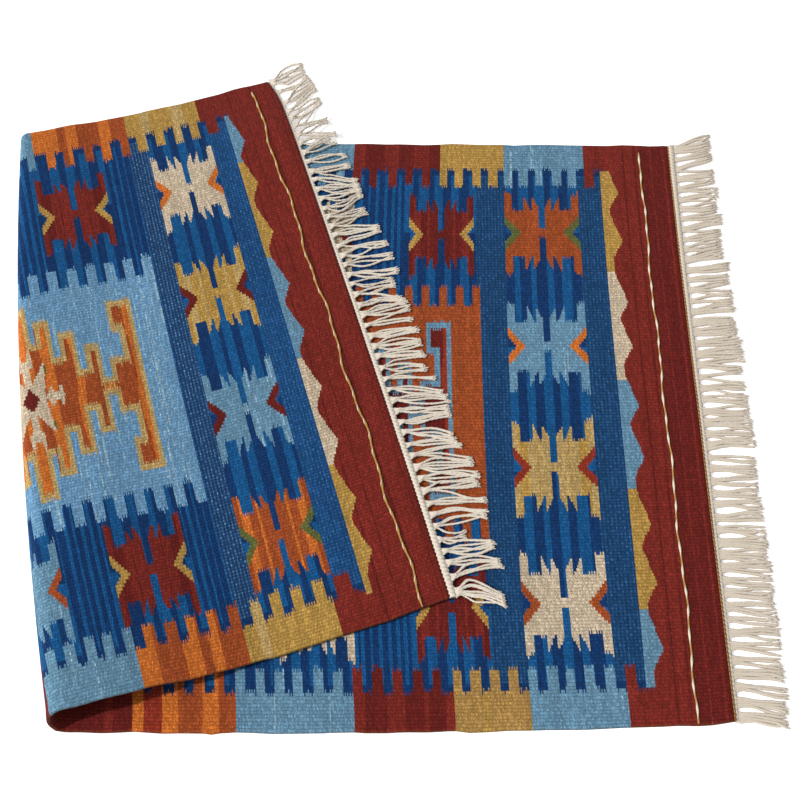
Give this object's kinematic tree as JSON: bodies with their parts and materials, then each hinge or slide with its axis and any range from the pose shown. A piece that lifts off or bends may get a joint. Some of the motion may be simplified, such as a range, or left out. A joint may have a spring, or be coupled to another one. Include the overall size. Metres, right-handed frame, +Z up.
{
  "type": "kilim rug",
  "caption": "Flat-woven wool rug with a cotton fringe at each end, folded over once into two layers that lie flat, joined by an open loop.",
  "frame": {"origin": "on the floor, under the middle of the whole folded rug with its fringes", "axes": "+Z up from the floor; +X from the fold towards the two fringed ends; +Y across the width, towards the side where the top layer overhangs"},
  "size_m": [0.6938, 0.7146, 0.0334],
  "materials": {
    "wool": "matt weft-faced wool weave, dark red, blues, orange, ochre and cream",
    "cotton": "matt off-white twisted cotton"
  },
  "bodies": {
    "root": {"rug_cloth": "wool", "fringe_underneath": "cotton", "fringe_on_top": "cotton"}
  },
  "joints": []
}
